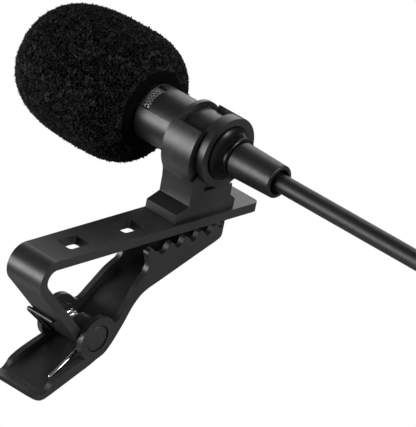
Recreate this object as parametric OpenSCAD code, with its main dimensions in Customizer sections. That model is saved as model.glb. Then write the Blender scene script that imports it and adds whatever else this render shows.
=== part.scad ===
// Lavalier microphone on a tie clip, drawn as it is worn, in millimetres.
// The origin is on the strap's inner face, in the middle of the row of teeth.
// +X runs to the clip's nose and +Z up the microphone's axis. The microphone
// stands on the -Y side of the strap, and the jaw lies on the +Y side.

/* [Clip strap] */
// Width of the strap
strap_w = 6.9; // [6.4:0.1:7.4]
// Thickness of the strap
strap_t = 1.5; // [1.3:0.1:1.7]
// Reach of the strap's nose beyond the origin
strap_nose = 15; // [13:0.5:18]
// Outer radius of the strap's rear bend
bend_r = 3.1; // [2.9:0.1:3.4]
// Length of a window in the strap
window_l = 4.3; // [3.6:0.1:4.6]
// Width of a window in the strap
window_w = 3.0; // [2.4:0.1:3.4]
// Distance between windows
window_pitch = 11.6; // [11:0.1:12]

/* [Jaw and hinge] */
// Thickness of the jaw's walls and floor
wall = 0.9; // [0.8:0.05:0.95]
// Half the jaw's width along the teeth
jaw_half = 3.1; // [2.9:0.1:3.3]
// Half the jaw's width at its ears and tail
ear_half = 4.5; // [4.5:0.05:4.7]
// Radius of the ears
ear_r = 3.5; // [3.3:0.1:3.6]
// Pitch of the teeth
tooth_pitch = 3.15; // [3.05:0.05:3.2]
// Radius of the pivot pin
pin_r = 1.0; // [0.9:0.05:1.1]
// Radial clearance of the ears on the pin
pin_play = 0.05; // [0.02:0.01:0.1]
// Wire diameter of the torsion spring
wire_d = 0.7; // [0.6:0.05:0.75]
// Mean radius of the spring's coil
coil_r = 1.6; // [1.55:0.05:1.62]

/* [Microphone] */
// Radius of the housing
body_r = 4.5; // [4.4:0.05:4.53]
// Upper end of the housing
body_top = 11.2; // [11:0.1:11.2]
// Wall of the housing
shell = 0.4; // [0.3:0.05:0.5]
// Radius of the foam windscreen
foam_r = 10.2; // [9.5:0.1:10.5]
// Radius of the holder's collar bore
collar_r = 4.55; // [4.54:0.01:4.6]

/* [Cable and plug] */
// Diameter of the cable
cable_d = 2.8; // [2.6:0.1:2.8]
// Radius of the plug's contacts
jack_r = 1.75; // [1.75:0.01:1.75]

/* [Hidden] */
$fn = 64;

black = [0.07, 0.07, 0.075];
eps = 0.01;
through = 20; // long enough to cut right through any piece of the clip

half_w = strap_w / 2;
pivot = [-17.3, 13.25];
bend_c = [-28.2, bend_r - strap_t];
knuckle_r = 2.35;
// The strap's arm leaves the bend at the angle that makes it tangent to the knuckle
to_pivot = pivot - bend_c;
arm_a = acos((bend_r - knuckle_r) / norm(to_pivot)) - atan2(to_pivot.x, to_pivot.y);
arm_out = [-sin(arm_a), cos(arm_a)];  // square to the arm, away from the throat
arm_back = [-cos(arm_a), -sin(arm_a)]; // along the arm, from the knuckle to the bend
cavity_r = coil_r + wire_d / 2 + 0.05;
coil_low = -2.0;
coil_high = 2.05;
cavity_z = [coil_low - wire_d / 2 - 0.05, coil_high + wire_d / 2 + 0.05];

flare = [-8, -14];
jaw_nose = 8.85;
jaw_tail = -29.15;
recess_d = 0.4;
head_r = 2.0;
ear_inner = ear_half - wall;

mic = [4.4, -12.1];
holder_z = [-2.8, 3.25];
ring_z = [-4.0, -2.8];
body_low = -2.75;

// Points of an arc about c, from angle a to angle b
function arc(c, r, a, b, n = 12) =
    [for (i = [0:n]) c + r * [cos(a + (b - a) * i / n), sin(a + (b - a) * i / n)]];

// One point of a smooth line, at share t between b and c
function blend(a, b, c, d, t) =
    0.5 * (2 * b + (c - a) * t + (2 * a - 5 * b + 4 * c - d) * t * t
    + (3 * b - a - 3 * c + d) * t * t * t);

// A smooth line through the points p, with k steps between two of them
function curve(p, k = 4) =
    let (n = len(p) - 1)
    concat([for (i = [0:n - 1], j = [0:k - 1])
        blend(p[max(i - 1, 0)], p[i], p[i + 1], p[min(i + 2, n)], j / k)], [p[n]]);

function unit(v) = v / norm(v);

// A direction square to v, nearest to u
function square_to(v, u) = unit(u - v * (u * v));

// The directions that carry a tube's cross-section along its points without twist
function carried(dirs, i = 0, u = undef, out = []) =
    i == len(dirs) ? out :
    let (start = abs(dirs[0].z) > 0.8 ? [1, 0, 0] : [0, 0, 1],
         now = square_to(dirs[i], is_undef(u) ? start : u))
    carried(dirs, i + 1, now, concat(out, [now]));

// A closed tube of radius r along the points p
module tube(p, r, sides = 8) {
    n = len(p);
    dirs = [for (i = [0:n - 1]) unit(p[min(i + 1, n - 1)] - p[max(i - 1, 0)])];
    ups = carried(dirs);
    rings = [for (i = [0:n - 1], k = [0:sides - 1])
        let (a = 360 * k / sides, v = cross(dirs[i], ups[i]))
        p[i] + r * (cos(a) * ups[i] + sin(a) * v)];
    walls = [for (i = [0:n - 2], k = [0:sides - 1], half = [0, 1])
        let (a = i * sides + k, b = i * sides + (k + 1) % sides)
        half == 0 ? [a, a + sides, b] : [b, a + sides, b + sides]];
    caps = [[for (k = [0:sides - 1]) k], [for (k = [sides - 1:-1:0]) (n - 1) * sides + k]];
    polyhedron(rings, concat(walls, caps));
}

// A prism along Z of the outline that follows
module slab(z) translate([0, 0, z[0]]) linear_extrude(z[1] - z[0]) children();

// A prism along Y of an outline drawn in X and Z
module plan(y) translate([0, y[1], 0]) rotate([90, 0, 0]) linear_extrude(y[1] - y[0]) children();

// A rectangle with round corners, centred
module soft_rect(l, w, r) {
    x = l / 2 - r;
    y = w / 2 - r;
    polygon(concat(arc([x, y], r, 0, 90, 6), arc([-x, y], r, 90, 180, 6),
        arc([-x, -y], r, 180, 270, 6), arc([x, -y], r, 270, 360, 6)));
}

// A ring or sleeve along Z
module pipe(z, outer, inner) {
    translate([0, 0, z[0]]) difference() {
        cylinder(h = z[1] - z[0], r = outer);
        translate([0, 0, -1]) cylinder(h = z[1] - z[0] + 2, r = inner);
    }
}

// A sector of the plane about the origin, from angle a to angle b
module sector(a, b, r = 15) polygon(concat([[0, 0]], arc([0, 0], r, a, b, 8)));

// ---- Clip ----

module strap_outline() {
    bend_end = 90 + arm_a;
    inner_r = bend_r - strap_t;
    tangent_out = pivot + knuckle_r * arm_out;
    tangent_in = pivot + (knuckle_r - strap_t) * arm_out;
    polygon(concat(
        [[strap_nose, 0], [strap_nose, -strap_t]],
        arc(bend_c, bend_r, 270, bend_end, 16),
        [tangent_out, tangent_in],
        arc(bend_c, inner_r, bend_end, 270, 12)));
}

module nose_plan() {
    corner = 1;
    x = strap_nose - corner;
    z = half_w - corner;
    polygon(concat([[-40, -half_w]], arc([x, -z], corner, -90, 0, 6),
        arc([x, z], corner, 0, 90, 6), [[-40, half_w]]));
}

module clip_strap() {
    first_window = -21.7;
    color(black) difference() {
        union() {
            intersection() {
                slab([-half_w, half_w]) strap_outline();
                plan([-strap_t - 1, through]) nose_plan();
            }
            translate([pivot.x, pivot.y, -half_w]) cylinder(h = strap_w, r = knuckle_r);
        }
        for (i = [0:2])
            translate([first_window + i * window_pitch, 0, 0])
                plan([-strap_t - 1, 1]) soft_rect(window_l, window_w, 0.5);
        translate([pivot.x, pivot.y, 0]) {
            translate([0, 0, -through / 2]) cylinder(h = through, r = pin_r);
            slab(cavity_z) circle(cavity_r);
            // The tail's side of the knuckle is open, where both legs of the spring come out
            rotate(arm_a + 90) slab([cavity_z[0] - 0.2, cavity_z[1] + 0.2])
                translate([0, -2.5]) square([3.5, 3.4]);
            // The throat's side shows the coil on its far half
            rotate(arm_a + 90) slab([-0.35, cavity_z[1]]) translate([-3.6, -1.7]) square([3.6, 5]);
        }
    }
}

// One tooth, from the valley behind its tip to the valley before it
tooth = [[-1.1, 1.3], [-0.75, 1.05], [-0.3, 0.15], [0, 0], [0.45, 0.12], [1.3, 0.9], [1.75, 1.25]];
tooth_tips = [for (i = [0:3]) [-3.2 + tooth_pitch * i, 1.4 - 0.28 * i]];

function tooth_line() = curve(concat(
    [[-8.2, 1.75], [-7.6, 1.55], [-7.0, 1.65], [-6.0, 2.4], [-5.0, 2.85]],
    [for (tip = tooth_tips, p = tooth) if (p.x + tip.x < 7.4) p + tip],
    [[7.5, 1.4], [8.1, 0.5], [8.5, 0.15]]), 3);

module jaw_side() {
    // From the nose under the floor to the tail
    under = curve([[8.7, 1.0], [8.65, 2.1], [8.2, 2.8], [7.4, 3.3], [6.3, 3.7],
        [4.8, 4.23], [2, 5.22], [-2.5, 6.82], [-5, 7.7], [-6.4, 8.2], [-8.2, 9.2], [-9.8, 10.4],
        [-11.5, 12.4], [-13.6, 14.5], [-15.2, 15.9], [-17.95, 17.4], [-20, 18.23], [-22.5, 19.24],
        [-24.8, 20.17], [-26.0, 20.65], [-27.2, 21.0], [-28.1, 20.95], [-29, 20.5]], 3);
    // Along the low walls of the tail to the ear
    tail_top = curve([[-28.6, 20.15], [-27.7, 20.1], [-26.6, 19.95], [-26.0, 19.3], [-25.4, 18.5],
        [-23.7, 17.6], [-21.5, 16.8], [-19.0, 16.0]], 3);
    // From the ear along the rear edge of the walls to the teeth
    throat = curve([[-14.2, 11.3], [-13.2, 11.3], [-11.9, 9.8], [-11, 8.7], [-9.6, 7.0], [-8.6, 6.1],
        [-7.6, 5.3], [-7.3, 4.1], [-7.9, 2.8], [-8.25, 2.1]], 4);
    polygon(concat(under, tail_top, [pivot], throat, tooth_line()));
    translate(pivot) circle(ear_r);
}

// The space over the floor, between the walls
module jaw_hollow_side() {
    floor_line = curve([[7.8, 1.8], [7.1, 2.3], [6.1, 2.75],
        [4.8, 3.21], [2, 4.21], [-2.5, 5.81], [-5.3, 6.8], [-6.7, 7.3], [-8.7, 8.45], [-10.4, 9.7],
        [-12.1, 11.7], [-14.2, 13.8], [-15.7, 15.05], [-18.25, 16.5],
        [-20, 17.22], [-22, 18.03], [-24.5, 19.05], [-26.2, 19.75]], 3);
    polygon(concat(floor_line, [[-27.2, 20.0], [-28.2, 20.0], [-30, 12], [-20, -5], [7.8, -5]]));
}

module jaw_plan(inset) {
    nose = jaw_nose - inset;
    tail = jaw_tail + inset;
    narrow = jaw_half - inset;
    wide = ear_half - inset;
    corner = 1.0 - inset / 2;
    tail_corner = 2.5 - inset;
    side = concat(arc([nose - corner, narrow - corner], corner, 0, 90, 6),
        curve([[-6.5, narrow], [flare[0], narrow + 0.06], [-11, (narrow + wide) / 2],
            [flare[1], wide - 0.06], [-15.5, wide]], 4),
        arc([tail + tail_corner, wide - tail_corner], tail_corner, 90, 180, 6));
    other = [for (i = [len(side) - 1:-1:0]) [side[i].x, -side[i].y]];
    polygon(concat(side, other));
}

module lower_jaw() {
    ear_bore = pin_r + pin_play;
    color(black) difference() {
        intersection() {
            slab([-through / 2, through / 2]) jaw_side();
            plan([-5, 25]) jaw_plan(0);
        }
        intersection() {
            slab([-through / 2, through / 2]) jaw_hollow_side();
            plan([-6, 26]) jaw_plan(wall);
        }
        translate([pivot.x, pivot.y, 0]) {
            // The ears' inner faces stay flat round the knuckle
            slab([-ear_inner, ear_inner]) circle(knuckle_r + 0.15);
            translate([0, 0, -through / 2]) cylinder(h = through, r = ear_bore);
            for (s = [-1, 1])
                translate([0, 0, s * (ear_half - recess_d / 2)])
                    cylinder(h = recess_d + eps, r = head_r + 0.15, center = true);
        }
    }
}

// A low dome over a disc, along Z
module head(r, h) {
    dome = curve([[r, h * 0.55], [r * 0.7, h * 0.85], [0, h]], 4);
    rotate_extrude() polygon(concat([[0, 0], [r, 0]], dome));
}

module pivot_pin() {
    play = 0.04;
    color([0.1, 0.1, 0.1]) translate([pivot.x, pivot.y, 0]) {
        translate([0, 0, -ear_half + recess_d]) cylinder(h = 2 * (ear_half - recess_d) + 0.1, r = pin_r);
        translate([0, 0, -ear_half + recess_d - play]) mirror([0, 0, 1]) head(head_r, recess_d);
    }
}

module pivot_cap() {
    play = 0.04;
    color([0.1, 0.1, 0.1]) translate([pivot.x, pivot.y, ear_half - recess_d + play]) difference() {
        head(head_r, recess_d);
        translate([0, 0, -1]) cylinder(h = 1.06, r = pin_r);
    }
}

// The torsion spring: lever leg, coil, leg along the arm and the bar across the arm
leg_foot = [-24.6, 18.55];
leg_reach = norm(leg_foot - pivot);
leg_start_a = atan2(leg_foot.y - pivot.y, leg_foot.x - pivot.x) - acos(coil_r / leg_reach);
coil_end_a = arm_a + 90 - 360 * 5;
coil_steps = 84;

function coil_point(t) =
    let (a = leg_start_a + (coil_end_a - leg_start_a) * t)
    [pivot.x + coil_r * cos(a), pivot.y + coil_r * sin(a), coil_low + (coil_high - coil_low) * t];

// A point beside the arm: out from the pivot, back along the arm, across at z
function by_arm(out, back, z) =
    let (p = pivot + out * arm_out + back * arm_back) [p.x, p.y, z];

module torsion_spring() {
    on_arm = knuckle_r + wire_d / 2 + 0.04;
    lever = [[leg_foot.x, leg_foot.y, -2.95], [leg_foot.x + 2.4, leg_foot.y - 1.2, -2.7]];
    coil = [for (i = [0:coil_steps]) coil_point(i / coil_steps)];
    leg = curve([by_arm(on_arm - 0.35, 0.25, 2.15), by_arm(on_arm, 0.8, 2.2), by_arm(on_arm, 2.0, 2.45),
        by_arm(on_arm, 4.6, 3.4), by_arm(on_arm, 6.0, 3.95), by_arm(on_arm, 6.55, 3.9),
        by_arm(on_arm, 6.7, 3.4), by_arm(on_arm, 6.7, 1), by_arm(on_arm, 6.7, -1.2)], 3);
    color("silver") tube(concat(lever, coil, leg), wire_d / 2);
}

module mic_holder() {
    arm_a_end = -143;
    arm_b_end = -60;
    outer_c = [0, 0.45];
    outer_r = 6.5;
    color(black) difference() {
        union() {
            // Foot and column
            slab(holder_z) polygon(concat(
                [[-3, -strap_t], [-3, -2.9], [-0.5, -3.8], [-0.6, -6.4], [-0.8, -7.5], [-1.3, -9.0]],
                [[4.4, -12.1], [9.6, -9.6], [8.6, -7.6], [8.4, -6.7], [8.6, -3.8], [9.8, -2.9],
                    [9.8, -strap_t]]));
            translate([mic.x, mic.y, 0]) {
                // Wide arm
                intersection() {
                    translate([outer_c.x, outer_c.y, holder_z[0]])
                        cylinder(h = holder_z[1] - holder_z[0], r = outer_r);
                    slab(holder_z) sector(80, 360 + arm_a_end);
                }
                // Narrow arm
                intersection() {
                    pipe([ring_z[0], 1.55], collar_r + 1, collar_r - 0.5);
                    slab([ring_z[0], 1.55]) sector(arm_b_end, 100);
                }
                // Rear ring and front hoop
                pipe(ring_z, 5.45, 4.28);
                pipe([ring_z[1] - eps, ring_z[1] + 0.6], 5.45, 4.4);
                pipe([2.55, holder_z[1]], 5.38, 4.5);
            }
            // Snap peg in the strap's front window
            translate([-21.7 + 2 * window_pitch, 0, 0])
                plan([-strap_t - eps, -0.1]) soft_rect(window_l - 0.04, window_w - 0.04, 0.48);
        }
        translate([mic.x, mic.y, 0]) {
            translate([0, 0, ring_z[1]]) cylinder(h = 10, r = collar_r);
            translate([0, 0, -through / 2]) cylinder(h = through, r = 4.28);
            // Slot between the rear ring and the wide arm
            slab([ring_z[1], ring_z[1] + 0.45]) intersection() {
                difference() {
                    circle(8);
                    circle(5.2);
                }
                sector(140, 360 + arm_a_end + 5);
            }
        }
        // Recess in the column under the rear ring
        difference() {
            translate([2.2, -8.6, holder_z[0] - 1]) cube([6.8, 2.9, 1.5]);
            translate([mic.x, mic.y, -through / 2]) cylinder(h = through, r = 5.5);
        }
    }
}

// ---- Microphone ----

module on_axis() translate([mic.x, mic.y, 0]) children();

module body_shell() {
    vent_z = [9.05, 10.55];
    color([0.05, 0.05, 0.05]) on_axis() difference() {
        rotate_extrude() polygon(concat(
            [[body_r - shell, body_low], [body_r - 0.15, body_low], [body_r, body_low + 0.15]],
            [[body_r, 10.6], [body_r - shell, 10.6]]));
        slab(vent_z) intersection() {
            difference() {
                circle(body_r + 1);
                circle(body_r - shell - 0.5);
            }
            sector(-153, -95);
        }
    }
}

module front_ring() {
    color([0.06, 0.06, 0.06]) on_axis() rotate_extrude() polygon([[4.15, 10.6], [body_r, 10.6],
        [body_r, body_top - 0.15], [body_r - 0.15, body_top], [4.15, body_top]]);
}

module side_mesh() {
    color("silver") on_axis() pipe([8.7, 10.6], body_r - shell, body_r - shell - 0.12);
}

module front_grille() {
    top = 17.5;
    r = 4.15;
    color([0.25, 0.25, 0.25]) on_axis() rotate_extrude() polygon(concat(
        [[r - 0.3, 10.7], [r, 10.7]], arc([r - 1, top - 1], 1, 0, 90, 5), [[0, top], [0, top - 0.3]],
        arc([r - 1, top - 1], 0.7, 90, 0, 5)));
}

module dust_felt() {
    color([0.15, 0.15, 0.15]) on_axis() translate([0, 0, 15.6]) cylinder(h = 0.8, r = 3.7);
}

module capsule_can() {
    color([0.75, 0.75, 0.76]) on_axis() difference() {
        translate([0, 0, 12.6]) cylinder(h = 2.7, r = 3.0);
        translate([0, 0, 12.5]) cylinder(h = 2.5, r = 2.8);
        translate([0, 0, 14]) cylinder(h = 3, r = 0.8);
    }
}

module capsule_diaphragm() {
    color("gold") on_axis() translate([0, 0, 14.2]) cylinder(h = 0.5, r = 2.78);
}

module capsule_gasket() {
    color([0.1, 0.1, 0.1]) on_axis() pipe([12.6, 15.3], 3.8, 3.0);
}

module capsule_board() {
    color("darkgreen") on_axis() translate([0, 0, 12.0]) cylinder(h = 0.6, r = 2.9);
}

module lead_wires() {
    color("firebrick") for (s = [-1, 1])
        tube(curve([[mic.x + 0.5 * s, mic.y, -2.9], [mic.x + 0.6 * s, mic.y, 0],
            [mic.x + 1.4 * s, mic.y + 0.6, 4], [mic.x + 1.2 * s, mic.y + 0.5, 9],
            [mic.x + 1.2 * s, mic.y, 12.0]], 4), 0.35);
}

module rear_cap() {
    inside = body_r - shell;
    color([0.06, 0.06, 0.06]) on_axis() rotate_extrude() polygon([
        [1.6, -6.35], [3.1, -6.35], [3.25, -6.2], [3.25, -5.95], [3.15, -5.8], [3.75, -4.75], [4.2, -4.3],
        [4.2, body_low - 0.05], [inside, body_low - 0.05], [inside, 0.4], [inside - 0.6, 0.4],
        [inside - 0.6, -3.3], [3.0, -4.6], [1.6, -4.6]]);
}

module cable_crimp() {
    color("silver") on_axis() pipe([-4.55, -3.4], 2.1, cable_d / 2 + 0.03);
}

relief_end = -14.4;
module strain_relief() {
    color([0.05, 0.05, 0.05]) on_axis() rotate_extrude() polygon(concat(
        [[cable_d / 2 + 0.05, -6.4], [2.8, -6.4]],
        arc([2.34, relief_end + 0.25], 0.25, 0, -90, 4),
        [[1.95, relief_end], [1.95, relief_end + 2], [cable_d / 2 + 0.05, relief_end + 2.2]]));
}

// The foam's outline is two half superellipses that meet at its widest place
module windscreen() {
    wide_z = 19.3;
    mouth_z = 11.25;
    bore_r = 4.2;
    steps = 14;
    rear = [for (i = [0:steps]) let (a = 60 * (1 - i / steps))
        [foam_r * pow(cos(a), 2 / 2.86), wide_z - 9.48 * pow(sin(a), 2 / 2.86)]];
    front = [for (i = [1:steps]) let (a = 90 * i / steps)
        [foam_r * pow(max(cos(a), 0), 2 / 3), wide_z + 15.6 * pow(sin(a), 2 / 3)]];
    color([0.04, 0.04, 0.04]) on_axis() rotate_extrude() polygon(concat(
        [[bore_r, mouth_z], [6.1, mouth_z], [7.2, 11.5]],
        [for (p = rear) if (p.y > 11.6) p], front,
        [[0, 17.6], [bore_r, 17.6]]));
}

// ---- Cable, hank and plug ----

hank_half = 11.2;
hank_depth = 22.4;
hank_z = [-72.2, -97.2]; // centres of the round ends
relief_top = -128;
// Straight down, then aside and forward to the first run of the hank
cable_route = [[4.4, -12.1, -3], [4.4, -12.1, -10], [4.4, -12.1, -17], [4.4, -12.1, -24],
    [4.4, -12.1, -31], [4.4, -12.1, -37], [4.4, -12.1, -43], [4.0, -12.5, -46], [2.8, -13.7, -49],
    [1.1, -15.4, -52], [-0.8, -17.3, -55], [-2.8, -19.3, -58], [-4.3, -20.8, -61], [-5.2, -21.7, -64]];
// From the last run of the hank back under it to the plug
tail_route = [[-5.2, -2.5, -105], [-3.8, -3.9, -109], [-2.1, -5.6, -112], [-0.2, -7.5, -115],
    [1.8, -9.5, -118], [3.3, -11.0, -121], [4.2, -11.9, -124], [4.4, -12.1, -126], [4.4, -12.1, -128]];

module cable() {
    color([0.05, 0.05, 0.05]) {
        tube(cable_route, cable_d / 2);
        tube(tail_route, cable_d / 2);
    }
}

module cable_hank() {
    color([0.05, 0.05, 0.05]) on_axis() plan([-hank_depth / 2, hank_depth / 2]) polygon(concat(
        arc([0, hank_z[0]], hank_half, 0, 180, 16), arc([0, hank_z[1]], hank_half, 180, 360, 16)));
}

module cable_tie() {
    t = 1.0;
    z = (hank_z[0] + hank_z[1]) / 2;
    color([0.1, 0.1, 0.1]) on_axis() slab([z - 3, z + 3]) difference() {
        square([2 * hank_half + 2 * t, hank_depth + 2 * t], center = true);
        square([2 * hank_half, hank_depth], center = true);
    }
}

module plug_relief() {
    color(black) on_axis() translate([0, 0, relief_top - 6]) cylinder(h = 6, r1 = 2.5, r2 = 1.9);
}

barrel_top = relief_top - 6;
contact_top = barrel_top - 17;
// Lower end of each contact and insulator, from the barrel down
contact_z = [for (l = [0, 4.6, 5.2, 7.6, 8.2, 9.6, 10.2, 14]) contact_top - l];

module plug_barrel() {
    r = 2.7;
    color(black) on_axis() rotate_extrude() polygon(concat(
        [[0, contact_top], [r - 0.5, contact_top], [r, contact_top + 0.5]],
        arc([r - 0.3, barrel_top - 0.3], 0.3, 0, 90, 4), [[0, barrel_top]]));
}

module contact(i) slab([contact_z[i + 1], contact_z[i]]) children();

module plug_sleeve() { color("gold") on_axis() contact(0) circle(jack_r); }

module plug_ring_2() { color("gold") on_axis() contact(2) circle(jack_r); }

module plug_ring_1() { color("gold") on_axis() contact(4) circle(jack_r); }

module plug_insulators() {
    color([0.05, 0.05, 0.05]) on_axis() for (i = [1, 3, 5]) contact(i) circle(jack_r);
}

module plug_tip() {
    z = contact_z[6];
    color("gold") on_axis() rotate_extrude() polygon(
        [[0, z], [1.4, z], [1.15, z - 0.5], [1.15, z - 0.8], [1.65, z - 1.7], [1.65, z - 2.0],
            [0.45, z - 3.75], [0, z - 3.8]]);
}

clip_strap();
lower_jaw();
pivot_pin();
pivot_cap();
torsion_spring();
mic_holder();
body_shell();
front_ring();
side_mesh();
front_grille();
dust_felt();
capsule_can();
capsule_diaphragm();
capsule_gasket();
capsule_board();
lead_wires();
rear_cap();
cable_crimp();
strain_relief();
windscreen();
cable();
cable_hank();
cable_tie();
plug_relief();
plug_barrel();
plug_sleeve();
plug_ring_2();
plug_ring_1();
plug_tip();
plug_insulators();
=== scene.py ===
import math

import bmesh
import bpy
import numpy as np
from mathutils import Matrix, Vector, kdtree


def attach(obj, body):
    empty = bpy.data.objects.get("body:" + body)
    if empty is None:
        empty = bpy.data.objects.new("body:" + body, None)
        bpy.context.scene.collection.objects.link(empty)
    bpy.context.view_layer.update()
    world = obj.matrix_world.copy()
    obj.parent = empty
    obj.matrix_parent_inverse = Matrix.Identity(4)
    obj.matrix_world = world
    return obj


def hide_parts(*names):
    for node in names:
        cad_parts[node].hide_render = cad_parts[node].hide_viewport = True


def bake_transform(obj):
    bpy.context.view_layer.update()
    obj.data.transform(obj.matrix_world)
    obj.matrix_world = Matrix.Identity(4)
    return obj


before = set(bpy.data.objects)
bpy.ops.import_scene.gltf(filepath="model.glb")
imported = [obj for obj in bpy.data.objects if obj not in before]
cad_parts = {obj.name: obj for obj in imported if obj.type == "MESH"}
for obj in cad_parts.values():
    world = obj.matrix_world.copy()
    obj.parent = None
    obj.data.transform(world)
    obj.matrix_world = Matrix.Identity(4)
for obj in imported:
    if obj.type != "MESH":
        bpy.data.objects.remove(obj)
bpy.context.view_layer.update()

MM = 0.001
AXIS = (4.4, -12.1)  # the microphone's axis, in X and Y
PIVOT = (-17.3, 13.25)  # the jaw's hinge
scene = bpy.context.scene


def mm(x, y, z):
    return Vector((x, y, z)) * MM


# ---------------------------------------------------------------- camera
BACK = Vector((-0.7159, -0.421, -0.557)).normalized()
UP = Vector((0.1989, -0.8877, 0.4152))
RIGHT = UP.cross(BACK).normalized()
AIM = mm(6.59, -0.25, -0.97)
CAMERA_DISTANCE = 1.0
CAMERA_LENS = 573


def make_camera():
    data = bpy.data.cameras.new("camera")
    data.lens = CAMERA_LENS
    data.sensor_width = 36
    data.clip_start = 0.01
    data.clip_end = 20
    camera = bpy.data.objects.new("camera", data)
    scene.collection.objects.link(camera)
    up = BACK.cross(RIGHT)
    turn = Matrix((RIGHT, up, BACK)).transposed().to_4x4()
    camera.matrix_world = Matrix.Translation(AIM + BACK * CAMERA_DISTANCE) @ turn
    scene.camera = camera


make_camera()


# ---------------------------------------------------------------- materials
def new_material(name):
    material = bpy.data.materials.new(name)
    material.use_nodes = True
    nodes, links = material.node_tree.nodes, material.node_tree.links
    shader = nodes["Principled BSDF"]
    where = nodes.new("ShaderNodeTexCoord").outputs["Object"]
    return material, nodes, links, shader, where


def noise(nodes, links, where, grain_mm, detail, rough=0.5):
    tex = nodes.new("ShaderNodeTexNoise")
    tex.inputs["Scale"].default_value = 1 / (grain_mm * MM)
    tex.inputs["Detail"].default_value = detail
    tex.inputs["Roughness"].default_value = rough
    links.new(where, tex.inputs["Vector"])
    return tex.outputs["Fac"]


def ramp(nodes, links, fac, stops):
    node = nodes.new("ShaderNodeValToRGB")
    points = node.color_ramp.elements
    points[0].position, points[1].position = stops[0][0], stops[-1][0]
    points[0].color, points[1].color = stops[0][1], stops[-1][1]
    for place, colour in stops[1:-1]:
        points.new(place).color = colour
    links.new(fac, node.inputs["Fac"])
    return node.outputs["Color"]


def grey(v):
    return (v, v, v, 1.0)


def bump(nodes, links, shader, height, depth_mm):
    node = nodes.new("ShaderNodeBump")
    node.inputs["Distance"].default_value = depth_mm * MM
    links.new(height, node.inputs["Height"])
    links.new(node.outputs["Normal"], shader.inputs["Normal"])


def plastic(name, tone, rough, grain=0.12, depth=0.004, specular=0.5, coat=0.0, hue=(1, 1, 1.04)):
    """Moulded plastic: fine spark-eroded grain, uneven gloss and faint cloudiness."""
    material, nodes, links, shader, where = new_material(name)
    cloud = noise(nodes, links, where, 5.0, 3)
    low, high = (tuple(tone * k * part for part in hue) + (1.0,) for k in (0.8, 1.25))
    links.new(ramp(nodes, links, cloud, [(0.3, low), (0.7, high)]), shader.inputs["Base Color"])
    gloss = noise(nodes, links, where, 1.3, 6, 0.65)
    links.new(ramp(nodes, links, gloss, [(0.25, grey(rough - 0.05)), (0.75, grey(rough + 0.07))]),
              shader.inputs["Roughness"])
    bump(nodes, links, shader, noise(nodes, links, where, grain, 3), depth)
    shader.inputs["Specular IOR Level"].default_value = specular
    shader.inputs["Coat Weight"].default_value = coat
    shader.inputs["Coat Roughness"].default_value = 0.25
    return material


def metal(name, colour, rough):
    """Bare metal with fine drawing marks and uneven polish."""
    mark_size, mark_depth = 0.08, 0.002
    material, nodes, links, shader, where = new_material(name)
    shader.inputs["Metallic"].default_value = 1.0
    stain = noise(nodes, links, where, 0.9, 5)
    dark = tuple(c * 0.72 for c in colour)
    links.new(ramp(nodes, links, stain, [(0.3, (*dark, 1)), (0.62, (*colour, 1))]),
              shader.inputs["Base Color"])
    marks = noise(nodes, links, where, mark_size, 6, 0.7)
    links.new(ramp(nodes, links, marks, [(0.3, grey(rough * 0.7)), (0.7, grey(rough * 1.4))]),
              shader.inputs["Roughness"])
    bump(nodes, links, shader, marks, mark_depth)
    return material


def foam_material():
    """Open-cell foam: painted shade in the pores and a painted highlight on the struts between them."""
    material, nodes, links, shader, where = new_material("foam")
    height = nodes.new("ShaderNodeAttribute")
    height.attribute_name = "strut_and_pore_shade"
    # Painted shade and painted highlight: near black down in the pores, dark grey up on the struts.
    links.new(ramp(nodes, links, height.outputs["Fac"],
                   [(0.0, grey(0.0006)), (0.5, grey(0.0014)), (0.85, grey(0.006)), (1.0, grey(0.036))]),
              shader.inputs["Base Color"])
    shader.inputs["Roughness"].default_value = 0.85
    shader.inputs["Specular IOR Level"].default_value = 0.05
    bump(nodes, links, shader, noise(nodes, links, where, 0.09, 5, 0.7), 0.03)
    return material


def woven(name, tone):
    """Hook-and-loop tape: fine woven ribs."""
    material, nodes, links, shader, where = new_material(name)
    wave = nodes.new("ShaderNodeTexWave")
    wave.bands_direction = "Z"
    wave.inputs["Scale"].default_value = 900
    wave.inputs["Distortion"].default_value = 1.5
    wave.inputs["Detail"].default_value = 3
    links.new(where, wave.inputs["Vector"])
    links.new(ramp(nodes, links, wave.outputs["Fac"], [(0.2, grey(tone * 0.5)), (0.8, grey(tone * 1.5))]),
              shader.inputs["Base Color"])
    shader.inputs["Roughness"].default_value = 0.8
    shader.inputs["Sheen Weight"].default_value = 0.3
    bump(nodes, links, shader, wave.outputs["Fac"], 0.05)
    return material


CLIP = plastic("clip_plastic", 0.016, 0.36)
JAW = plastic("jaw_plastic", 0.016, 0.38)
HOLDER = plastic("holder_plastic", 0.013, 0.36)
PIN = plastic("pin_plastic", 0.016, 0.32)
HOUSING = plastic("housing_lacquer", 0.009, 0.38, grain=0.07, depth=0.0015, coat=0.15)
CAP = plastic("cap_lacquer", 0.003, 0.26, grain=0.07, depth=0.0015, specular=0.22)
RELIEF = plastic("relief_rubber", 0.008, 0.42, grain=0.10, depth=0.003)
CABLE = plastic("cable_jacket", 0.008, 0.46, grain=0.16, depth=0.004, specular=0.4)
PLUG = plastic("plug_plastic", 0.012, 0.30)
# Also used on the front cap's solid, as painted shade behind the holes of the grille sheet.
RUBBER_AND_HOLE_SHADE = plastic("gasket_rubber", 0.02, 0.7)
BOARD = plastic("board_green", 0.20, 0.4, hue=(0.15, 1.0, 0.35))
FELT = plastic("felt_grey", 0.03, 0.95, grain=0.2, depth=0.05)
STEEL = metal("spring_steel", (0.60, 0.60, 0.61), 0.18)
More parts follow.
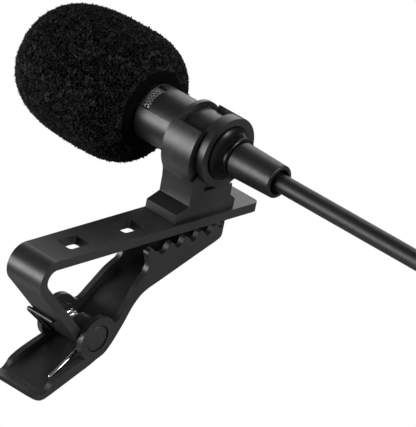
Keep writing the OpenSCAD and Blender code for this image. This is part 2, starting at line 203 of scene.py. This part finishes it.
# Painted shade: a near-black copy of the spring steel for the bar, which is the same wire as the coil,
# standing for the dark surroundings it reflects.
SHADED_STEEL = metal("spring_steel_painted_shade", (0.06, 0.06, 0.062), 0.30)
MESH = metal("mesh_steel", (0.95, 0.95, 0.96), 0.48)
GRILLE = metal("grille_metal", (0.26, 0.26, 0.27), 0.4)
CAN = metal("capsule_aluminium", (0.78, 0.78, 0.79), 0.3)
GOLD = metal("contact_gold", (0.95, 0.70, 0.33), 0.16)
LEAD = plastic("lead_insulation", 0.45, 0.4, hue=(1.0, 0.06, 0.05))
FOAM = foam_material()
TAPE = woven("tie_tape", 0.02)


# ---------------------------------------------------------------- pieces
MERGE = 2e-6  # points closer than this, in metres, become one
SHARP_ANGLE = 30  # edges that turn by more degrees than this are rounded


def new_piece(name, mesh, material, body):
    piece = bpy.data.objects.new(name, mesh)
    scene.collection.objects.link(piece)
    mesh.materials.clear()
    mesh.materials.append(material)
    if body:
        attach(piece, body)
    return piece


def mesh_of(bm, name):
    """The edited mesh as a new one, with its faces turned outward."""
    bmesh.ops.recalc_face_normals(bm, faces=bm.faces)
    mesh = bpy.data.meshes.new(name)
    bm.to_mesh(mesh)
    bm.free()
    return mesh


def shade_smooth(mesh):
    for polygon in mesh.polygons:
        polygon.use_smooth = True


def bake(piece):
    """Applies the piece's modifiers to its mesh."""
    graph = bpy.context.evaluated_depsgraph_get()
    mesh = bpy.data.meshes.new_from_object(piece.evaluated_get(graph))
    piece.modifiers.clear()
    piece.data = mesh


def tidy_copy(node):
    """The CAD node's mesh with its flat faces whole again."""
    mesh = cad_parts[node].data.copy()
    for name in ("custom_normal", "sharp_face", "sharp_edge"):
        if name in mesh.attributes:
            mesh.attributes.remove(mesh.attributes[name])
    bm = bmesh.new()
    bm.from_mesh(mesh)
    bmesh.ops.remove_doubles(bm, verts=bm.verts, dist=MERGE)
    bmesh.ops.dissolve_limit(bm, angle_limit=math.radians(0.5), verts=bm.verts, edges=bm.edges)
    bm.to_mesh(mesh)
    bm.free()
    return mesh


def dressed(node, material, body, radius):
    """A CAD node with its edges rounded as a mould or a lathe leaves them."""
    mesh = tidy_copy(node)
    piece = new_piece(node + "_shape", mesh, material, body)
    shade_smooth(mesh)
    if radius:
        bevel = piece.modifiers.new("bevel", "BEVEL")
        bevel.width = radius * MM
        bevel.segments = 3
        bevel.limit_method = "ANGLE"
        bevel.angle_limit = math.radians(SHARP_ANGLE)
        bevel.harden_normals = True
    weighted = piece.modifiers.new("normals", "WEIGHTED_NORMAL")
    weighted.keep_sharp = True
    bake(piece)
    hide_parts(node)
    return piece


def tube_mesh(name, points, radius):
    """A round rod along the points, closed by low domes."""
    sides = 14
    whole, start_dome, end_dome = ((1, 0),), ((0.6, -0.35), (1, 0)), ((1, 0), (0.6, 0.35))
    points = [Vector(p) for p in points]
    count = len(points)
    bm = bmesh.new()
    up = None
    rings = []
    for i, p in enumerate(points):
        along = (points[min(i + 1, count - 1)] - points[max(i - 1, 0)]).normalized()
        if up is None:
            steep = abs(along.z) > 0.8
            up = Vector((1, 0, 0)) if steep else Vector((0, 0, 1))
        up = (up - along * up.dot(along)).normalized()
        side = along.cross(up)
        for share, push in start_dome if i == 0 else end_dome if i == count - 1 else whole:
            ring = []
            for k in range(sides):
                a = 2 * math.pi * k / sides
                out = up * math.cos(a) + side * math.sin(a)
                ring.append(bm.verts.new((p + out * radius * share + along * radius * push) * MM))
            rings.append(ring)
    for a, b in zip(rings, rings[1:]):
        for k in range(sides):
            j = (k + 1) % sides
            bm.faces.new((a[k], a[j], b[j], b[k]))
    bm.faces.new(rings[0][::-1])
    bm.faces.new(rings[-1])
    mesh = mesh_of(bm, name)
    for polygon in mesh.polygons:
        polygon.use_smooth = len(polygon.vertices) == 4
    return mesh


def smooth_line(points, steps):
    """Catmull-Rom points through the given ones."""
    p = [np.array(q, float) for q in points]
    out = []
    for i in range(len(p) - 1):
        a, b, c, d = p[max(i - 1, 0)], p[i], p[i + 1], p[min(i + 2, len(p) - 1)]
        for j in range(steps):
            t = j / steps
            out.append(0.5 * (2 * b + (c - a) * t + (2 * a - 5 * b + 4 * c - d) * t * t
                              + (3 * b - a - 3 * c + d) * t ** 3))
    return [tuple(q) for q in out + [p[-1]]]


# ---------------------------------------------------------------- cable, hank, tie and plug
CABLE_D = 2.8
WIDE, NARROW = 9.8, 7.0  # the two fold radii of the hank
HANK_TOP, HANK_LOW = -72.2, -97.2  # centres of its round ends
TURNS = 12
ROUTE_IN = [(4.4, -12.1, -3), (4.4, -12.1, -10), (4.4, -12.1, -17), (4.4, -12.1, -24),
            (4.4, -12.1, -31), (4.4, -12.1, -37), (4.4, -12.1, -43), (4.0, -12.5, -46), (2.8, -13.7, -49),
            (1.1, -15.4, -52), (-0.8, -17.3, -55), (-2.8, -19.3, -58), (-4.3, -20.8, -61), (-5.2, -21.7, -64)]
ROUTE_OUT = [(-5.2, -2.5, -105), (-3.8, -3.9, -109), (-2.1, -5.6, -112), (-0.2, -7.5, -115),
             (1.8, -9.5, -118), (3.3, -11.0, -121), (4.2, -11.9, -124), (4.4, -12.1, -126),
             (4.4, -12.1, -128)]
FIRST_RUN = (-70, -77, -85, -92)  # heights of the points down a straight run
RUN = (-75, -81, -88, -94)
LAST_RUN = (*RUN, -100)
FOLD_POINTS, RISE_POINTS = 8, 6


def ease(t):
    return t * t * (3 - 2 * t)


def run_place(k):
    """Fold radius and layer of the hank's left run k. Neighbouring layers are wound in opposite order."""
    first = -3.5 * CABLE_D
    if k == 0:
        return WIDE, first
    if k == TURNS + 1:
        return WIDE, -first
    layer, inner = divmod(k - 1, 2)
    wide = (inner == 0) == (layer % 2 == 0)
    return (WIDE if wide else NARROW), first + (layer + 1) * CABLE_D


def hank_turns():
    """Down a run on the left, round the fold, up on the right into the next run's place, and over."""
    out = []
    for k in range(TURNS + 1):
        (r0, y0), (r1, y1) = run_place(k), run_place(k + 1)
        for z in FIRST_RUN if k == 0 else RUN:
            out.append((-r0, y0, z))
        for i in range(FOLD_POINTS):
            a = math.pi * (1 + (i + 0.5) / FOLD_POINTS)
            out.append((r0 * math.cos(a), y0, HANK_LOW + r0 * math.sin(a)))
        for i in range(RISE_POINTS):
            t = ease((i + 0.5) / RISE_POINTS)
            z = HANK_LOW + (HANK_TOP - HANK_LOW) * (i + 0.5) / RISE_POINTS
            out.append((r0 + (r1 - r0) * t, y0 + (y1 - y0) * t, z))
        for i in range(FOLD_POINTS):
            a = math.pi * (i + 0.5) / FOLD_POINTS
            out.append((r1 * math.cos(a), y1, HANK_TOP + r1 * math.sin(a)))
    last = run_place(TURNS + 1)
    for z in LAST_RUN:
        out.append((-last[0], last[1], z))
    return [(AXIS[0] + x, AXIS[1] + y, z) for x, y, z in out]


def make_cable():
    points = smooth_line(ROUTE_IN + hank_turns() + ROUTE_OUT, 3)
    curve = bpy.data.curves.new("cable", "CURVE")
    curve.dimensions = "3D"
    curve.bevel_depth = CABLE_D / 2 * MM
    curve.bevel_resolution = 4
    curve.use_fill_caps = True
    spline = curve.splines.new("POLY")
    spline.points.add(len(points) - 1)
    for point, p in zip(spline.points, points):
        point.co = (*(Vector(p) * MM), 1)
    spline.use_smooth = True
    cable = bpy.data.objects.new("cable_run", curve)
    scene.collection.objects.link(cable)
    curve.materials.append(CABLE)
    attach(cable, "mic")
    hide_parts("cable", "cable_hank")
    return cable


def make_tie():
    """Hook-and-loop strap round the hank, with its lapped end."""
    half_x, half_y, thick, tall = 11.5, 11.5, 0.9, 3.0
    corner, corner_steps = 4.5, 8
    lap_long, lap_thick, lap_side, lap_gap = 9, 0.9, 1.5, 0.3
    z = (HANK_TOP + HANK_LOW) / 2
    outline = []
    for cx, cy, start in ((1, 1, 0), (-1, 1, 90), (-1, -1, 180), (1, -1, 270)):
        for i in range(corner_steps + 1):
            a = math.radians(start + 90 * i / corner_steps)
            outline.append((cx * (half_x - corner), cy * (half_y - corner), a))
    bm = bmesh.new()
    loops = []
    for grow, dz in ((0, -tall), (thick, -tall), (thick, tall), (0, tall)):
        loops.append([bm.verts.new(mm(AXIS[0] + x + (corner + grow) * math.cos(a),
                                      AXIS[1] + y + (corner + grow) * math.sin(a), z + dz))
                      for x, y, a in outline])
    count = len(outline)
    for n in range(4):
        a, b = loops[n], loops[(n + 1) % 4]
        for i in range(count):
            j = (i + 1) % count
            bm.faces.new((a[i], a[j], b[j], b[i]))
    lap = bmesh.ops.create_cube(bm, size=1.0)["verts"]
    bmesh.ops.scale(bm, verts=lap, vec=mm(lap_long, lap_thick, 2 * tall - 0.4))
    lap_y = AXIS[1] - half_y - thick - lap_gap
    bmesh.ops.translate(bm, verts=lap, vec=mm(AXIS[0] + lap_side, lap_y, z))
    mesh = mesh_of(bm, "cable_tie_strap")
    piece = new_piece("cable_tie_strap", mesh, TAPE, "mic")
    bevel = piece.modifiers.new("bevel", "BEVEL")
    bevel.width = 0.2 * MM
    bevel.segments = 2
    bevel.limit_method = "ANGLE"
    bake(piece)
    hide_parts("cable_tie")
    return piece


cable = make_cable()
on_cable = [make_tie()]
for node, material, slot, radius in (
    ("plug_relief", PLUG, "plug_black", 0.25), ("plug_barrel", PLUG, "plug_black", 0.15),
    ("plug_sleeve", GOLD, "contact_gold", 0.03), ("plug_ring_2", GOLD, "contact_gold", 0.03),
    ("plug_ring_1", GOLD, "contact_gold", 0.03), ("plug_tip", GOLD, "contact_gold", 0.05),
    ("plug_insulators", PLUG, "plug_black", 0.02),
):
    on_cable.append(dressed(node, material, "mic", radius))


# ---------------------------------------------------------------- clip
dressed("clip_strap", CLIP, "clip", 0.22)
dressed("lower_jaw", JAW, "jaw", 0.16)
dressed("mic_holder", HOLDER, "clip", 0.16)
dressed("pivot_pin", PIN, "clip", 0.06)
dressed("pivot_cap", PIN, "clip", 0.06)

WIRE_R = 0.35
COIL_R = 1.6
COIL_Z = (-2.0, 2.05)
SPRING_TURNS = 5
LEG_FOOT = (-24.6, 18.55)
KNUCKLE_R = 2.35
ARM_ANGLE = math.radians(44.2)
ARM_OUT = (-math.sin(ARM_ANGLE), math.cos(ARM_ANGLE))
ARM_BACK = (-math.cos(ARM_ANGLE), -math.sin(ARM_ANGLE))


def by_arm(out, back, z):
    """A point beside the strap's arm: out from the hinge, back along the arm."""
    x, y = (PIVOT[k] + out * ARM_OUT[k] + back * ARM_BACK[k] for k in (0, 1))
    return (x, y, z)


def make_spring():
    """The coil with its lever leg, as a piece left on no body; the leg on the arm rides with the clip."""
    dx, dy = LEG_FOOT[0] - PIVOT[0], LEG_FOOT[1] - PIVOT[1]
    start = math.atan2(dy, dx) - math.acos(COIL_R / math.hypot(dx, dy))
    end = ARM_ANGLE + math.pi / 2 - SPRING_TURNS * 2 * math.pi
    steps = 180
    coil = [(LEG_FOOT[0], LEG_FOOT[1], -2.95), (LEG_FOOT[0] + 2.4, LEG_FOOT[1] - 1.2, -2.7)]
    for i in range(steps + 1):
        a = start + (end - start) * i / steps
        coil.append((PIVOT[0] + COIL_R * math.cos(a), PIVOT[1] + COIL_R * math.sin(a),
                     COIL_Z[0] + (COIL_Z[1] - COIL_Z[0]) * i / steps))
    coil_mesh = tube_mesh("torsion_spring_coil", coil, WIRE_R)
    lever = new_piece("torsion_spring_coil", coil_mesh, STEEL, None)
    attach(lever, "clip")
    lever.parent = None
    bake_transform(lever)
    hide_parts("torsion_spring")
    on_arm = KNUCKLE_R + WIRE_R + 0.04
    bar_back, bar_end = 6.7, -1.2
    leg = smooth_line([coil[-1], by_arm(on_arm - 0.35, 0.25, 2.15), by_arm(on_arm, 0.8, 2.2),
                       by_arm(on_arm, 2.0, 2.45), by_arm(on_arm, 4.6, 3.4), by_arm(on_arm, 6.0, 3.95),
                       by_arm(on_arm, 6.55, 3.9), by_arm(on_arm, bar_back, 3.4),
                       by_arm(on_arm, bar_back, 1), by_arm(on_arm, bar_back, bar_end)], 5)
    bar_mesh = tube_mesh("torsion_spring_bar", leg, WIRE_R)
    # The bar takes the near-black copy of the spring steel: painted shade for the dark surroundings it
    # reflects.
    new_piece("torsion_spring_bar", bar_mesh, SHADED_STEEL, "clip")


make_spring()

# ---------------------------------------------------------------- microphone
dressed("body_shell", HOUSING, "mic", 0.08)
dressed("front_ring", HOUSING, "mic", 0.08)
dressed("rear_cap", CAP, "mic", 0.10)
dressed("strain_relief", RELIEF, "mic", 0.10)
for node, material, slot, radius in (
    ("dust_felt", FELT, "felt", 0.1), ("capsule_can", CAN, "capsule_aluminium", 0.05),
    ("capsule_diaphragm", GOLD, "diaphragm_gold", 0.03), ("capsule_gasket", RUBBER_AND_HOLE_SHADE, "gasket_rubber", 0.1),
    ("capsule_board", BOARD, "board_green", 0.03), ("lead_wires", LEAD, "lead_red", 0),
    ("cable_crimp", STEEL, "spring_steel", 0.1),
):
    dressed(node, material, "mic", radius)


def perforated(name, radius, low, high, across, rows, hole):
    """A cylinder wall of sheet with staggered round holes."""
    bm = bmesh.new()
    cell_h = (high - low) / rows
    sides = 8

    def place(u, z):
        a = 2 * math.pi * u / across
        return mm(AXIS[0] + radius * math.cos(a), AXIS[1] + radius * math.sin(a), z)

    for row in range(rows):
        shift = 0.5 * (row % 2)
        for column in range(across):
            u, z = column + shift, low + (row + 0.5) * cell_h
            outer, inner = [], []
            for k in range(sides):
                a = 2 * math.pi * k / sides
                c, s = math.cos(a), math.sin(a)
                stretch = 0.5 / max(abs(c), abs(s))
                outer.append(bm.verts.new(place(u + c * stretch, z + s * stretch * cell_h)))
                inner.append(bm.verts.new(place(u + c * hole, z + s * hole * cell_h)))
            for k in range(sides):
                j = (k + 1) % sides
                bm.faces.new((outer[k], outer[j], inner[j], inner[k]))
    bmesh.ops.remove_doubles(bm, verts=bm.verts, dist=MERGE)
    return mesh_of(bm, name)


def make_mesh(name, node, material, slot, thick, *sizes):
    piece = new_piece(name, perforated(name, *sizes), material, "mic")
    solid = piece.modifiers.new("thick", "SOLIDIFY")
    solid.thickness = thick * MM
    solid.offset = 0
    bake(piece)
    if node:
        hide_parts(node)


make_mesh("side_mesh_sheet", "side_mesh", MESH, "mesh_steel", 0.1, 4.03, 8.75, 10.55, 46, 4, 0.39)
# The front cap's solid takes the near-black matt rubber material: painted shade seen through the holes of the
# metal sheet laid over it.
dressed("front_grille", RUBBER_AND_HOLE_SHADE, "mic", 0.05)
make_mesh("front_grille_sheet", None, GRILLE, "grille_metal", 0.04, 4.16, 11.25, 16.4, 34, 8, 0.30)


# ---------------------------------------------------------------- foam windscreen
FOAM_R = 10.2
WIDE_Z = 19.3
MOUTH_Z = 11.25
BORE_R = 4.2
BORE_TOP = 17.6
STEP = 0.1
CELL = 0.46  # mean distance between pores
PORE_DEPTH = 0.42
SKIN_PROUD = 0.10
ROUGHNESS = 0.05  # spread of each point's own height and shade
SPIKE_SHARE = 0.05
SPIKE_HEIGHT = (0.08, 0.32)
LIP_ROWS = 6  # rows over which the pores fade in from the lip
REAR_H, REAR_BEND = 9.48, 2.86  # half superellipse below the widest place: height and exponent
FRONT_H, FRONT_BEND = 15.6, 3  # and above it


def foam_outline():
    """Radius and height down the bore, round the mouth's lip and over the ball."""
    bore = [(0.02, BORE_TOP), (2, BORE_TOP), (BORE_R, BORE_TOP), (BORE_R, 14), (BORE_R, MOUTH_Z + 0.3)]
    lip = [(4.45, MOUTH_Z + 0.05), (5.3, MOUTH_Z), (6.0, MOUTH_Z + 0.05), (6.2, MOUTH_Z + 0.35)]
    rear = []
    for i in range(15):
        a = math.radians(60 * (1 - i / 14))
        r, z = FOAM_R * math.cos(a) ** (2 / REAR_BEND), WIDE_Z - REAR_H * math.sin(a) ** (2 / REAR_BEND)
        if z > MOUTH_Z + 0.6:
            rear.append((r, z))
    front = []
    for i in range(1, 41):
        a = math.radians(90 * i / 40)
        r = FOAM_R * max(math.cos(a), 0) ** (2 / FRONT_BEND)
        front.append((max(r, 0.02), WIDE_Z + FRONT_H * math.sin(a) ** (2 / FRONT_BEND)))
    return bore, lip, [(6.9, MOUTH_Z + 0.4)] + rear + front


def spaced(points, step):
    p = np.array(points, float)
    along = np.concatenate([[0], np.cumsum(np.linalg.norm(np.diff(p, axis=0), axis=1))])
    at = np.linspace(0, along[-1], max(2, int(along[-1] / step) + 1))
    return np.stack([np.interp(at, along, p[:, k]) for k in (0, 1)], axis=1)


def revolved(outline, columns):
    """The outline turned about Z: its points and their outward directions."""
    slope = np.gradient(outline, axis=0)
    normal = np.stack([slope[:, 1], -slope[:, 0]], axis=1)
    normal /= np.maximum(np.linalg.norm(normal, axis=1), 1e-9)[:, None]
    a = np.arange(columns) * 2 * math.pi / columns
    ring = np.stack([np.cos(a), np.sin(a)], axis=1)
    swept = []
    for part in (outline, normal):
        grid = np.empty((len(outline), columns, 3))
        grid[..., :2] = part[:, None, :1] * ring[None]
        grid[..., 2] = part[:, None, 1]
        swept.append(grid.reshape(-1, 3))
    return swept


def pore_centres(skin, rng):
    """Pores scattered over the skin by its area, each with a depth of its own."""
    area = 2 * math.pi * skin[:, 0] * STEP
    count = int(area.sum() / CELL ** 2)
    pick = skin[rng.choice(len(skin), count, p=area / area.sum())]
    angle = rng.random(count) * 2 * math.pi
    seeds = np.stack([pick[:, 0] * np.cos(angle), pick[:, 0] * np.sin(angle), pick[:, 1]], axis=1)
    seeds += rng.normal(0, CELL * 0.15, seeds.shape)
    depth = rng.uniform(0.35, 1.0, count)
    tree = kdtree.KDTree(count)
    for i, s in enumerate(seeds):
        tree.insert(s, i)
    tree.balance()
    return tree, depth


def make_foam():
    """The ball as one skin, sunk at its pores and standing up in short struts between them."""
    bore, lip, ball = foam_outline()
    plain = np.concatenate([spaced(bore, 0.5), spaced(lip, 0.15)[1:]])
    skin = spaced([lip[-1]] + ball, STEP)[1:]
    outline = np.concatenate([plain, skin])
    rows, columns = len(outline), int(2 * math.pi * FOAM_R / STEP)
    points, out = revolved(outline, columns)

    rng = np.random.default_rng(7)
    tree, depth = pore_centres(skin, rng)
    first_skin = len(plain) * columns
    strut_and_pore_shade = np.full(len(points), 0.35)
    push = np.zeros(len(points))
    for i in range(first_skin, len(points)):
        (_, near, d1), (_, _, d2) = tree.find_n(points[i], 2)
        wall = min(1.0, (d2 - d1) / (0.5 * CELL))
        strut_and_pore_shade[i] = 1 - wall * depth[near]
        push[i] = -PORE_DEPTH * wall * depth[near]
    jitter = rng.normal(0, ROUGHNESS, len(points))
    spiked = rng.random(len(points)) < SPIKE_SHARE
    spikes = np.where(spiked, rng.uniform(*SPIKE_HEIGHT, len(points)), 0)
    push[first_skin:] += SKIN_PROUD + jitter[first_skin:] + spikes[first_skin:] * strut_and_pore_shade[first_skin:]
    near_lip = np.clip((np.arange(len(points)) // columns - len(plain)) / LIP_ROWS, 0, 1)
    strut_and_pore_shade = np.clip(strut_and_pore_shade + rng.normal(0, ROUGHNESS, len(points)), 0, 1)
    points += out * (push * near_lip)[:, None]
    points[:, 0] += AXIS[0]
    points[:, 1] += AXIS[1]
    grid = np.arange(rows * columns).reshape(rows, columns)
    after = np.roll(grid, -1, axis=1)
    faces = np.stack([grid[:-1], after[:-1], after[1:], grid[1:]], axis=-1).reshape(-1, 4)
    mesh = bpy.data.meshes.new("foam_windscreen")
    ends = [list(map(int, grid[0][::-1])), list(map(int, grid[-1]))]
    mesh.from_pydata((points * MM).tolist(), [], faces.tolist() + ends)
    # The strut value also sets the foam's colour: painted shade in the pores, painted highlight on the
    # struts.
    attribute = mesh.attributes.new("strut_and_pore_shade", "FLOAT", "POINT")
    attribute.data.foreach_set("value", strut_and_pore_shade.astype(np.float32))
    shade_smooth(mesh)
    piece = new_piece("foam_windscreen", mesh, FOAM, "foam")
    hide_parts("windscreen")


make_foam()


# ---------------------------------------------------------------- floor and light
def make_floor():
    mesh = bpy.data.meshes.new("floor")
    half = 3.0
    low = -0.8
    corners = [(-half, -half, low), (half, -half, low), (half, half, low), (-half, half, low)]
    mesh.from_pydata(corners, [], [(0, 1, 2, 3)])
    material, _, _, shader, _ = new_material("floor_paper")
    shader.inputs["Base Color"].default_value = (0.85, 0.85, 0.85, 1)
    shader.inputs["Roughness"].default_value = 0.8
    mesh.materials.append(material)
    floor = bpy.data.objects.new("floor", mesh)
    scene.collection.objects.link(floor)


def make_light(name, right, up, back, size, power):
    """A soft box placed by the camera's own directions, in metres from the object."""
    data = bpy.data.lights.new(name, "AREA")
    data.shape = "RECTANGLE"
    data.size, data.size_y = size
    data.energy = power
    light = bpy.data.objects.new(name, data)
    scene.collection.objects.link(light)
    place = RIGHT * right + UP * up + BACK * back
    light.location = AIM + place
    light.rotation_euler = place.to_track_quat("Z", "Y").to_euler()


def make_world():
    world = bpy.data.worlds.new("studio")
    scene.world = world
    world.use_nodes = True
    nodes, links = world.node_tree.nodes, world.node_tree.links
    nodes.clear()
    out = nodes.new("ShaderNodeOutputWorld")
    mix = nodes.new("ShaderNodeMixShader")
    seen = nodes.new("ShaderNodeLightPath")
    paper, fill = nodes.new("ShaderNodeBackground"), nodes.new("ShaderNodeBackground")
    paper.inputs["Color"].default_value = (1, 1, 1, 1)
    paper.inputs["Strength"].default_value = 1.0
    fill.inputs["Color"].default_value = (0.98, 0.99, 1.0, 1)
    fill.inputs["Strength"].default_value = 0.12
    links.new(seen.outputs["Is Camera Ray"], mix.inputs["Fac"])
    links.new(fill.outputs[0], mix.inputs[1])
    links.new(paper.outputs[0], mix.inputs[2])
    links.new(mix.outputs[0], out.inputs["Surface"])


make_floor()
make_world()
make_light("key", -0.92, 0.12, 0.22, (0.45, 0.9), 11)
make_light("side", 0.8, 0.15, 0.5, (0.4, 0.6), 12)
make_light("rim", -0.6, -0.1, -0.6, (0.5, 0.5), 2.5)
make_light("backdrop", 0.16, 0.75, -0.65, (0.9, 0.9), 4.2)
scene.view_settings.view_transform = "Standard"
